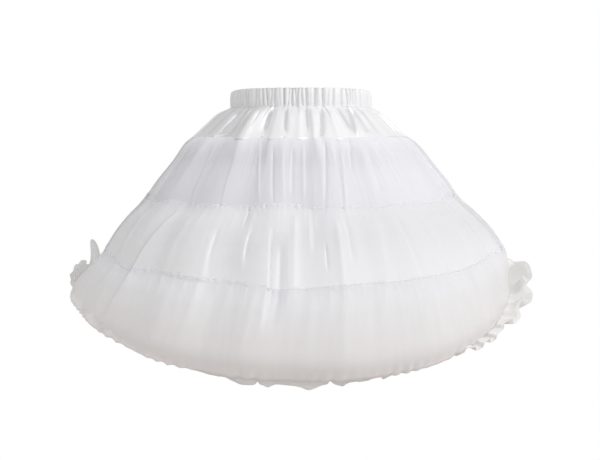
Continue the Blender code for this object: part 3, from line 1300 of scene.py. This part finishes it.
@dataclass
class FirstTier(ClothPiece):
    """The upper strip of organza, caught behind the yoke's edge, with fine upright gathers."""

    name: str = "first_tier"
    node: str = "tier_1"
    slot: str = "organza"
    finish: ClothFinish = ORGANZA
    columns: int = 1300
    rows: int = 24
    flat: tuple[float, float] = (1.55, 0.110)
    rests_on: tuple[str, ...] = ("yoke",)
    rings: tuple[Ring, ...] = TIER_1_RINGS
    packed: float = 0.8
    fades_in: float = 0.006
    # Painted shade: dark strips inside the outline at the left and the right, where the back layers are
    # in shade.
    shades: tuple[Shade, ...] = (Shade(187.0, 14.0, 0.55), Shade(358.0, 11.0, 0.35))
    gathers: tuple[Gathers, ...] = (
        Gathers(110, 0.0009, 0.0018, 0.014, 0.030, 0.130, 21, rarity=1.4),
        Gathers(44, 0.0020, 0.0075, 0.030, 0.080, 0.240, 22, wander=2.0, rarity=1.0),
    )
    follow_share: float = 0.6
    follow_from: float = 0.016
    follow_over: float = 0.045
    laps_turn: float = -5.0
    creases_turn: float = 4.0
    side_turns: tuple[float, float] = (80.0, -85.0)
    smooth_until: float = 0.08
    smooth_over: float = 0.12
    laps: tuple[Lap, ...] = (
        Lap(201.0, 0.0, 0.05, 1.25, 0.0022, 0.0050, 1, 20.0, 30.0, 0.8),
        Lap(213.0, 1.0, 0.10, 1.25, 0.0012, 0.0070, 1, 14.0, 20.0, 0.6),
        Lap(225.0, 5.0, 0.15, 1.25, 0.0010, 0.0060, 1, 14.0, 10.0, 0.2),
        Lap(240.5, 3.0, 0.05, 1.25, 0.0010, 0.0060, 1, 12.0, 10.0, 0.2),
        Lap(330.0, -1.0, 0.15, 1.25, 0.0024, 0.0060, -1, 25.0, 26.0, 0.6),
    )
    creases: tuple[Crease, ...] = (
        Crease(249.7, 7.3, 0.12, 0.98, +0.0017, 0.0016, 0.5),
        Crease(257.0, 4.5, 0.15, 1.05, -0.0022, 0.0026, 0.0, 0.3, Profile.SHARP),
        Crease(261.5, 3.0, 0.20, 1.10, +0.0014, 0.0030),
        Crease(266.0, 1.3, 0.20, 0.90, -0.0022, 0.0028, 0.0, 0.3, Profile.SHARP),
        Crease(270.6, 0.2, 0.15, 1.00, +0.0014, 0.0022),
        Crease(275.0, -1.0, 0.15, 1.10, +0.0011, 0.0060),
        Crease(281.5, -4.3, -0.10, 1.10, -0.0027, 0.0026, 0.0, 0.3, Profile.SHARP),
        Crease(285.5, -2.0, 0.15, 1.10, -0.0011, 0.0040),
        Crease(288.6, -4.6, 0.20, 1.10, +0.0019, 0.0022, -0.4),
        Crease(294.0, -8.0, 0.00, 0.60, -0.0025, 0.0018, 0.0, 0.3, Profile.SHARP),
        Crease(297.0, -2.0, 0.15, 1.10, +0.0012, 0.0060),
        Crease(301.0, -3.0, 0.10, 0.90, -0.0011, 0.0040),
        Crease(311.0, -2.0, 0.10, 1.10, +0.0012, 0.0060),
    )

    def fold(self, grid: ClothGrid) -> None:
        """Lays the folds at the front left, the lines given one by one, and the fine gathers.

        Args:
            grid: the piece's plain grid.
        """
        grid.follow(self.follow_share * self.above, self.follow_from, self.follow_over)
        for lap in self.laps:
            grid.add_lap(lap)
            grid.add_lap(lap.at_the_back(self.laps_turn))
        grid.settle()
        for crease in self.creases:
            grid.add_crease(crease)
            grid.add_crease(crease.at_the_back(self.creases_turn))
        for crease in self.creases[1:8:2]:
            for turn in self.side_turns:
                grid.add_crease(replace(crease, angle=crease.angle + turn))
        for gathers in self.gathers:
            grid.add_gathers(gathers)
        grid.height *= smooth_step((grid.share - self.smooth_until) / self.smooth_over)[:, None]
        sway_the_seam(grid, SEAM_2, 0.0, at_top=False)


@dataclass(frozen=True)
class SeamSway:
    """How a seam's line rises and falls round the skirt."""

    ripples: tuple[Ripple, ...]

    def at(self, angle: np.ndarray) -> np.ndarray:
        """How far below its ring the seam is."""
        return sum(ripple.at(angle) for ripple in self.ripples)


SEAM_2 = SeamSway((Ripple(0.0020, 9, 0.9), Ripple(0.0012, 17, 2.0), Ripple(0.0010, 4, 0.2)))
SEAM_3 = SeamSway((Ripple(0.0024, 8, 2.2), Ripple(0.0014, 15, 0.4), Ripple(0.0012, 5, 1.9)))


def sway_the_seam(grid: ClothGrid, seam: SeamSway, stitched: float, at_top: bool) -> None:
    """Lets a piece follow the rise and fall of the seam at its top or its lower edge.

    Args:
        grid: the piece.
        seam: the seam's line.
        stitched: how far down the piece the stitches of its top seam are.
        at_top: True for the seam at its top.
    """
    if at_top:
        near = 1.0 - smooth_step((grid.down - stitched) / (0.5 * grid.length))
    else:
        near = smooth_step((grid.share - 0.5) / 0.5)
    grid.sway += near[:, None] * seam.at(grid.angle)[None, :]


@dataclass
class SecondTier(ClothPiece):
    """The wider strip of organza: a crimped heading, the lapped folds and fewer, larger gathers."""

    name: str = "second_tier"
    node: str = "tier_2"
    slot: str = "organza"
    finish: ClothFinish = FOGGY_ORGANZA
    columns: int = 1480
    rows: int = 22
    flat: tuple[float, float] = (2.10, 0.115)
    rests_on: tuple[str, ...] = ("tier_1",)
    rings: tuple[Ring, ...] = TIER_2_RINGS
    heading: float = HEADING
    fog: float = 0.40
    fades_in: float = 0.005
    # Painted shade: dark strips inside the outline at the left and the right, grey over the right, and
    # grey all round but the front left, which with the finish's paler colour paints light there.
    shades: tuple[Shade, ...] = (
        Shade(187.0, 13.0, 0.45),
        Shade(355.0, 13.0, 0.30),
        Shade(314.0, 38.0, 0.14),
        Shade(62.0, 148.0, 0.14),
    )
    gathers: tuple[Gathers, ...] = (
        Gathers(200, 0.0008, 0.0019, 0.040, 0.010, 0.045, 31, HEADING),
        Gathers(60, 0.0010, 0.0065, 0.050, 0.050, 0.200, 32, HEADING, rarity=1.0),
    )
    crimps: Folds = Folds(176, (Ripple(2.2, 7, 0.3), Ripple(1.6, 19, 1.2)), Ripple(0.45, 31, 0.5))
    crimp_height: float = 0.0010
    follow_over: float = 0.040
    laps_turn: float = 8.0
    creases_turn: float = 5.0
    side_turns: tuple[float, float] = (85.0, -80.0)
    right_swell: Swell = Swell(348.0, 26.0, 1.0, 0.55, out=0.0070)
    long_laps: tuple[Lap, ...] = (
        Lap(226.5, -4.0, 0.0, 1.0, 0.0, 0.0100, 1, 70.0, 25.0, over=1.4),
        Lap(45.0, 0.0, 0.0, 1.0, 0.0, 0.0100, 1, 70.0, 25.0, over=1.4),
    )
    laps: tuple[Lap, ...] = (
        Lap(200.0, 0.0, 0.05, 1.20, 0.0026, 0.0050, 1, 20.0, 30.0, 0.8),
        Lap(211.0, -1.0, 0.05, 1.25, 0.0016, 0.0080, 1, 16.0, 30.0, 0.6),
        Lap(261.3, 1.2, 0.30, 1.35, 0.0048, 0.0060, -1, 24.0, 4.5, 1.5, 0.8),
        Lap(245.0, 1.0, 0.35, 1.20, 0.0016, 0.0120, -1, 22.0, 8.0, 0.5, 0.3),
        Lap(256.0, 0.0, 0.25, 0.85, 0.0014, 0.0100, -1, 20.0, 7.0, 0.6, 0.3),
        Lap(273.0, -0.3, 0.00, 0.70, 0.0014, 0.0090, -1, 14.0, 7.0, 0.6, 0.3),
        Lap(308.0, 1.0, 0.05, 1.20, 0.0012, 0.0150, -1, 30.0, 9.0, 0.4, 0.3),
        Lap(329.0, 1.0, 0.05, 1.25, 0.0034, 0.0080, -1, 25.0, 26.0, 0.7),
    )
    creases: tuple[Crease, ...] = (
        Crease(235.0, -1.0, 0.10, 1.20, +0.0019, 0.0120),
        Crease(246.0, 0.0, 0.35, 0.80, -0.0019, 0.0024, 0.0, 0.3, Profile.SHARP),
        Crease(253.2, 0.5, 0.00, 0.35, -0.0016, 0.0018, 0.0, 0.3, Profile.SHARP),
        Crease(256.0, 0.2, 0.38, 0.75, -0.0019, 0.0018, 0.0, 0.3, Profile.SHARP),
        Crease(264.6, 0.2, 0.50, 1.15, -0.0025, 0.0040),
        Crease(268.0, 0.0, 0.10, 1.20, +0.0019, 0.0060),
        Crease(276.6, 0.0, 0.52, 0.82, -0.0019, 0.0016, 0.0, 0.3, Profile.SHARP),
        Crease(280.2, -0.2, 0.10, 1.20, +0.0017, 0.0050),
        Crease(283.4, -0.3, 0.12, 0.80, -0.0015, 0.0040),
        Crease(291.0, 0.5, 0.10, 1.20, +0.0016, 0.0110),
        Crease(300.0, 1.5, 0.05, 1.10, -0.0015, 0.0060),
    )
    lumps: tuple[tuple[float, float], ...] = (
        (231.0, 2.0),
        (242.0, 3.0),
        (252.5, 2.5),
        (257.5, 1.5),
        (263.0, 4.0),
        (269.0, 1.5),
        (274.0, 1.5),
        (284.5, 1.5),
    )

    def fold(self, grid: ClothGrid) -> None:
        """Lays the lapped folds, then the creases, the gathers and the heading's crimps.

        Args:
            grid: the piece's plain grid.
        """
        grid.follow(self.above, self.heading, self.follow_over)
        for lap in self.long_laps:
            grid.add_lap(lap)
        for lap in self.laps:
            grid.add_lap(lap)
            grid.add_lap(lap.at_the_back(self.laps_turn))
        grid.swell(self.right_swell)
        grid.settle()
        for crease in self.creases:
            grid.add_crease(crease)
            grid.add_crease(crease.at_the_back(self.creases_turn))
        for crease in self.creases[::3]:
            for turn in self.side_turns:
                grid.add_crease(replace(crease, angle=crease.angle + turn))
        for gathers in self.gathers:
            grid.add_gathers(gathers)
        grid.crimp_edge(self.crimps, self.crimp_height, self.heading, self.lumps)
        sway_the_seam(grid, SEAM_2, self.heading, at_top=True)
        sway_the_seam(grid, SEAM_3, 0.0, at_top=False)


@dataclass
class Flounce(ClothPiece):
    """The bottom flounce: soft tulle in foggy, rounded folds, turned in at its hem."""

    name: str = "flounce"
    node: str = "tier_3"
    slot: str = "soft_tulle"
    finish: ClothFinish = SOFT_TULLE
    columns: int = 1480
    rows: int = 24
    flat: tuple[float, float] = (2.25, 0.120)
    rests_on: tuple[str, ...] = ("tier_2",)
    rings: tuple[Ring, ...] = TIER_3_RINGS
    wall: float = 0.0005
    heading: float = HEADING
    fades_in: float = 0.005
    # Painted shade: the flounce greyer towards the right, against its light.
    shades: tuple[Shade, ...] = (Shade(310.0, 50.0, 0.20),)
    gathers: tuple[Gathers, ...] = (
        Gathers(220, 0.0009, 0.0024, 0.060, 0.008, 0.030, 41, HEADING, wander=0.8),
        Gathers(70, 0.0012, 0.0080, 0.070, 0.040, 0.160, 42, HEADING, rarity=1.0),
    )
    crimps: Folds = Folds(160, (Ripple(2.0, 6, 0.9), Ripple(1.8, 23, 0.2)), Ripple(0.48, 29, 0.1))
    crimp_height: float = 0.0010
    follow_over: float = 0.050
    creases_turn: float = 7.0
    tuck_from: float = 0.86
    tuck_depth: float = 0.0011
    tuck_lag: float = 0.012
    long_laps: tuple[Lap, ...] = (
        Lap(222.5, -2.0, 0.0, 1.0, 0.0, 0.0130, 1, 70.0, 25.0),
        Lap(45.0, 0.0, 0.0, 1.0, 0.0, 0.0130, 1, 70.0, 25.0),
    )
    creases: tuple[Crease, ...] = (
        Crease(238.0, 0.0, 0.05, 1.20, +0.0012, 0.0130),
        Crease(250.0, 0.0, 0.10, 1.00, -0.0010, 0.0100),
        Crease(259.5, -1.0, 0.00, 0.90, +0.0013, 0.0080),
        Crease(264.5, 0.0, 0.00, 0.60, -0.0010, 0.0070),
        Crease(272.0, 0.0, 0.10, 1.10, +0.0008, 0.0120),
        Crease(279.5, 1.0, 0.15, 0.95, +0.0011, 0.0080),
        Crease(287.0, 1.0, 0.20, 1.00, -0.0008, 0.0100),
        Crease(302.0, 2.0, 0.10, 1.10, +0.0009, 0.0150),
    )
    lumps: tuple[tuple[float, float], ...] = ((227.5, 4.0), (239.0, 2.5), (245.0, 4.0))
    swells: tuple[Swell, ...] = (
        Swell(303.0, 26.0, 1.0, 0.45, out=0.0050, up=-0.0060, right=0.0040),
        Swell(178.0, 18.0, 0.45, 0.35, out=-0.0060),
        Swell(352.0, 20.0, 0.90, 0.40, out=-0.0090),
    )
    hem_pleats: Folds = Folds(118, (Ripple(2.6, 5, 0.4), Ripple(1.9, 13, 1.7)), Ripple(0.48, 21, 0.6))

    def fold(self, grid: ClothGrid) -> None:
        """Lays the long folds, the soft creases, the small gathers and the heading's crimps.

        Args:
            grid: the piece's plain grid.
        """
        grid.follow(self.above, self.heading, self.follow_over)
        for lap in self.long_laps:
            grid.add_lap(lap)
        for swell in self.swells:
            grid.swell(swell)
        grid.settle()
        for crease in self.creases:
            grid.add_crease(crease)
            grid.add_crease(crease.at_the_back(self.creases_turn))
        for gathers in self.gathers:
            grid.add_gathers(gathers)
        grid.crimp_edge(self.crimps, self.crimp_height, self.heading, self.lumps)
        sway_the_seam(grid, SEAM_3, self.heading, at_top=True)
        near = smooth_step((grid.share - self.tuck_from) / (1.0 - self.tuck_from))
        tucked = (near * self.tuck_depth)[:, None]
        grid.height += tucked * self.hem_pleats.wave(grid.angle)[None, :]
        grid.sway += tucked * self.hem_pleats.wave(grid.angle + self.tuck_lag)[None, :]


@dataclass
class Underskirt(ClothPiece):
    """The plain lining skirt inside the tiers."""

    name: str = "underskirt_lining"
    node: str = "underskirt"
    slot: str = "lining"
    finish: ClothFinish = LINING
    columns: int = 480
    rows: int = 30
    flat: tuple[float, float] = (1.80, 0.290)
    rests_on: tuple[str, ...] = ("yoke",)
    rings: tuple[Ring, ...] = UNDERSKIRT_RINGS
    wall: float = 0.0006
    held: Held = Held.HUNG
    gathers: tuple[Gathers, ...] = (
        Gathers(40, 0.0016, 0.0060, 0.020, 0.030, 0.260, 51, wander=2.0, rarity=1.0),
    )

    def fold(self, grid: ClothGrid) -> None:
        """Lays the shallow folds of a cloth that hangs nearly smooth.

        Args:
            grid: the piece's plain grid.
        """
        for gathers in self.gathers:
            grid.add_gathers(gathers)


@dataclass(frozen=True)
class Tip:
    """A few of the frill's flutes that stand up or hang down more than the rest.

    Lift is up, and away is straight out from the waist's axis, both in metres at the frill's edge.
    """

    angle: float
    spread: float
    lift: float
    away: float


@dataclass
class HemFrill(ClothPiece):
    """The crisp ruffle round the hem, in narrow box-like flutes.

    The flutes are this high at the front, at the sides and, besides, at the right, where a few
    are left out round one place, so that the rest are broader. Box is how square a flute is, and
    curl how far its sides close in under its crest. The root is how high the flutes already are
    where the frill is sewn on. Their edges hang unevenly by the unevenness, with each step from
    flute to flute evened over so many columns. The powers say how a tip grows towards the edge.
    """

    name: str = "fluted_hem_frill"
    node: str = "hem_frill"
    slot: str = "crisp_tulle"
    finish: ClothFinish = CRISP_TULLE
    columns: int = 1640
    rows: int = 12
    flat: tuple[float, float] = (2.30, 0.060)
    rests_on: tuple[str, ...] = ("underskirt",)
    rings: tuple[Ring, ...] = FRILL_RINGS
    flutes: Folds = Folds(50, (Ripple(4.6, 3, 2.88), Ripple(0.9, 11, 2.18)), Ripple(0.16, 13, 0.8))
    flute_front: float = 0.0024
    flute_side: float = 0.0070
    flute_right: float = 0.0080
    right_middle: float = 0.05
    right_spread: float = 0.45
    broad_middle: float = -6.0
    broad_spread: float = 60.0
    left_out: int = 3
    box: float = 1.9
    curl: float = 0.45
    root: float = 0.12
    uneven_flutes: int = 128
    unevenness: float = 0.0026
    evened_over: int = 9
    lift_power: int = 3
    away_power: float = 1.5
    seed: int = 61
    tips: tuple[Tip, ...] = (
        Tip(162.2, 1.9, 0.054, 0.016),
        Tip(166.0, 1.4, 0.010, 0.006),
        Tip(173.0, 1.0, -0.004, -0.002),
        Tip(178.5, 1.0, -0.004, -0.002),
        Tip(256.5, 2.2, -0.0030, 0.0),
        Tip(259.6, 0.5, 0.0040, 0.0),
        Tip(262.2, 0.9, -0.0026, 0.0),
        Tip(270.7, 2.0, -0.0060, 0.0),
        Tip(275.2, 0.6, 0.0045, 0.0),
        Tip(277.7, 1.2, -0.0038, 0.0),
        Tip(287.0, 0.8, -0.0030, 0.0),
    )
    swells: tuple[Swell, ...] = (
        Swell(300.0, 22.0, 1.0, 0.60, out=-0.0020, up=0.0060, right=-0.0030),
        Swell(250.0, 14.0, 1.0, 0.60, up=0.0030),
        Swell(170.0, 20.0, 0.75, 0.40, up=-0.0020, away=0.0240),
        Swell(171.0, 10.0, 1.0, 0.22, up=0.0340, away=0.0120),
        Swell(183.0, 8.0, 1.0, 0.22, up=0.0140, away=0.0080),
        Swell(12.0, 8.0, 1.0, 0.40, up=0.0260, away=0.0130),
    )

    def fold(self, grid: ClothGrid) -> None:
        """Lays the flutes, deeper at the sides and towards the edge, and the odd ones out.

        Args:
            grid: the piece's plain grid.
        """
        side = np.abs(np.cos(grid.angle)) ** SIDE_LIFT_POWER
        swing = self.flute_front + (self.flute_side - self.flute_front) * side
        right = turned(grid.angle - self.right_middle) / self.right_spread
        swing = swing + self.flute_right * np.exp(-(right ** 2))
        off = turned(grid.angle - math.radians(self.broad_middle)) / math.radians(self.broad_spread)
        phase = self.flutes.phase(grid.angle) - TURN * self.left_out * smooth_step(off + 0.5)
        square = np.tanh(self.box * np.cos(phase)) / math.tanh(self.box)
        part = grid.share[:, None]
        swung = swing * square * self.flutes.share(grid.angle)
        grid.height += (self.root + (1.0 - self.root) * part) * swung[None, :]
        grid.shift += part * (self.curl * swing * np.sin(2.0 * phase))[None, :]
        flute = np.floor(phase / TURN).astype(int) % self.uneven_flutes
        uneven = np.random.default_rng(self.seed).normal(size=self.uneven_flutes)[flute]
        kernel = np.hanning(self.evened_over) / np.hanning(self.evened_over).sum()
        reach = self.evened_over // 2
        uneven = np.concatenate([uneven[-reach:], uneven, uneven[:reach]])
        uneven = np.convolve(uneven, kernel, "valid")
        grid.sway += part ** 2 * (self.unevenness * uneven)[None, :]
        for tip in self.tips:
            off = turned(grid.angle - math.radians(tip.angle)) / math.radians(tip.spread)
            bell = np.exp(-(off ** 2))[None, :]
            lift = tip.lift * part ** self.lift_power * bell
            away = tip.away * part ** self.away_power * bell
            moved = (away * np.cos(grid.angle), away * np.sin(grid.angle), lift)
            grid.base = grid.base + np.stack(moved, axis=-1)
        for swell in self.swells:
            grid.swell(swell)


# In the picture's pixels: how far the horizon lies above its middle, and the focal length.
HORIZON = 91.0
FOCAL_LENGTH = 833.33


@dataclass(frozen=True)
class Lamp:
    """One soft square lamp: its place, the length of its side, its power in watts, its colour."""

    name: str
    place: tuple[float, float, float]
    size: float
    power: float
    colour: tuple[float, float, float]


@dataclass
class Studio:
    """The plain white studio: a pale floor, soft light and the camera in front of the skirt.

    The light from all round goes from dim, away from the bright side, to bright.
    """

    floor_height: float = -0.95
    floor_radius: float = 9.0
    floor_colour: tuple[float, float, float] = (0.72, 0.645, 0.61)
    bright_side: tuple[float, float, float] = (0.84, -0.50, 0.12)
    dim: float = 0.685
    bright: float = 0.822
    key: Lamp = Lamp("key", (1.70, -1.25, 1.25), 1.3, 24.0, (1.0, 0.99, 1.0))
    aim: tuple[float, float, float] = (0.0, 0.0, -0.18)
    lens: float = 50.0
    sensor: float = 36.0
    camera_place: tuple[float, float, float] = (-0.0015, -1.2917, -0.0600)
    camera_pitch: float = math.atan(HORIZON / FOCAL_LENGTH)

    def build(self) -> None:
        """Sets up the whole studio."""
        self.floor()
        self.surroundings()
        self.lamp(self.key)
        self.camera()

    def floor(self) -> None:
        """A wide pale disc, as bright as its surroundings where the camera sees it."""
        shape = bmesh.new()
        bmesh.ops.create_circle(shape, cap_ends=True, segments=96, radius=self.floor_radius)
        bmesh.ops.translate(shape, verts=shape.verts, vec=Vector((0.0, 0.0, self.floor_height)))
        mesh = bpy.data.meshes.new("floor")
        shape.to_mesh(mesh)
        shape.free()
        floor = bpy.data.objects.new("floor", mesh)
        bpy.context.scene.collection.objects.link(floor)
        board = NodeBoard("pale_floor")
        board.shader.inputs["Base Color"].default_value = (*self.floor_colour, 1.0)
        board.shader.inputs["Roughness"].default_value = 0.9
        seen = board.add("LightPath").outputs["Is Camera Ray"]
        bright = board.add("Emission", Color=(1.0, 1.0, 1.0, 1.0), Strength=1.0)
        mixed = board.add("MixShader", i0=seen, i1=board.shader.outputs[0], i2=bright.outputs[0])
        output = board.nodes["Material Output"]
        board.feed(output.inputs["Surface"], mixed.outputs[0])
        mesh.materials.append(board.material)

    def surroundings(self) -> None:
        """A white room: soft light from all round, stronger from the right."""
        world = bpy.data.worlds.new("white_room")
        world.use_nodes = True
        nodes, links = world.node_tree.nodes, world.node_tree.links
        soft = nodes["Background"]
        towards = nodes.new("ShaderNodeVectorMath")
        towards.operation = "DOT_PRODUCT"
        links.new(nodes.new("ShaderNodeTexCoord").outputs["Generated"], towards.inputs[0])
        towards.inputs[1].default_value = self.bright_side
        grade = nodes.new("ShaderNodeMapRange")
        links.new(towards.outputs["Value"], grade.inputs["Value"])
        grade.inputs["From Min"].default_value = -1.0
        grade.inputs["From Max"].default_value = 1.0
        grade.inputs["To Min"].default_value = self.dim
        grade.inputs["To Max"].default_value = self.bright
        links.new(grade.outputs[0], soft.inputs["Strength"])
        seen = nodes.new("ShaderNodeBackground")
        path = nodes.new("ShaderNodeLightPath")
        mixed = nodes.new("ShaderNodeMixShader")
        links.new(path.outputs["Is Camera Ray"], mixed.inputs[0])
        links.new(soft.outputs[0], mixed.inputs[1])
        links.new(seen.outputs[0], mixed.inputs[2])
        soft.inputs["Color"].default_value = (1.0, 1.0, 1.0, 1.0)
        seen.inputs["Color"].default_value = (1.0, 1.0, 1.0, 1.0)
        links.new(mixed.outputs[0], nodes["World Output"].inputs["Surface"])
        bpy.context.scene.world = world

    def lamp(self, lamp: Lamp) -> None:
        """Hangs one lamp that looks at the skirt.

        Args:
            lamp: the lamp.
        """
        light = bpy.data.lights.new(lamp.name, "AREA")
        light.shape = "SQUARE"
        light.size = lamp.size
        light.energy = lamp.power
        light.color = lamp.colour
        hung = bpy.data.objects.new(lamp.name, light)
        hung.location = lamp.place
        aim = Vector(self.aim) - Vector(lamp.place)
        hung.rotation_euler = aim.to_track_quat("-Z", "Y").to_euler()
        bpy.context.scene.collection.objects.link(hung)

    def camera(self) -> None:
        """The camera, in front of the skirt and a little above its middle."""
        data = bpy.data.cameras.new("camera")
        data.lens = self.lens
        data.sensor_width = self.sensor
        camera = bpy.data.objects.new("camera", data)
        camera.location = self.camera_place
        camera.rotation_euler = (math.pi / 2 - self.camera_pitch, 0.0, 0.0)
        bpy.context.scene.collection.objects.link(camera)
        bpy.context.scene.camera = camera


# From the waist down, so that each piece is built after the one that it is sewn to.
PIECES = (Waistband, Yoke, FirstTier, SecondTier, Flounce, Underskirt, HemFrill)
DIFFUSE_BOUNCES = 8
SHEER_LAYERS = 32


def main() -> None:
    """Builds the skirt from the waist down, then the studio, and sets the view and the bounces."""
    logging.basicConfig(level=logging.INFO, format="%(asctime)s %(message)s")
    edges: dict[str, np.ndarray | None] = {}
    for kind in PIECES:
        piece = kind()
        piece.above = edges.get(piece.rests_on[0])
        made = piece.build()
        edges[piece.node] = piece.edge
        LOG.info("%s replaces %s", made.name, piece.node)
    Studio().build()
    scene = bpy.context.scene
    scene.view_settings.view_transform = "Standard"
    scene.cycles.diffuse_bounces = DIFFUSE_BOUNCES
    scene.cycles.transparent_max_bounces = SHEER_LAYERS


if __name__ == "__main__":
    main()
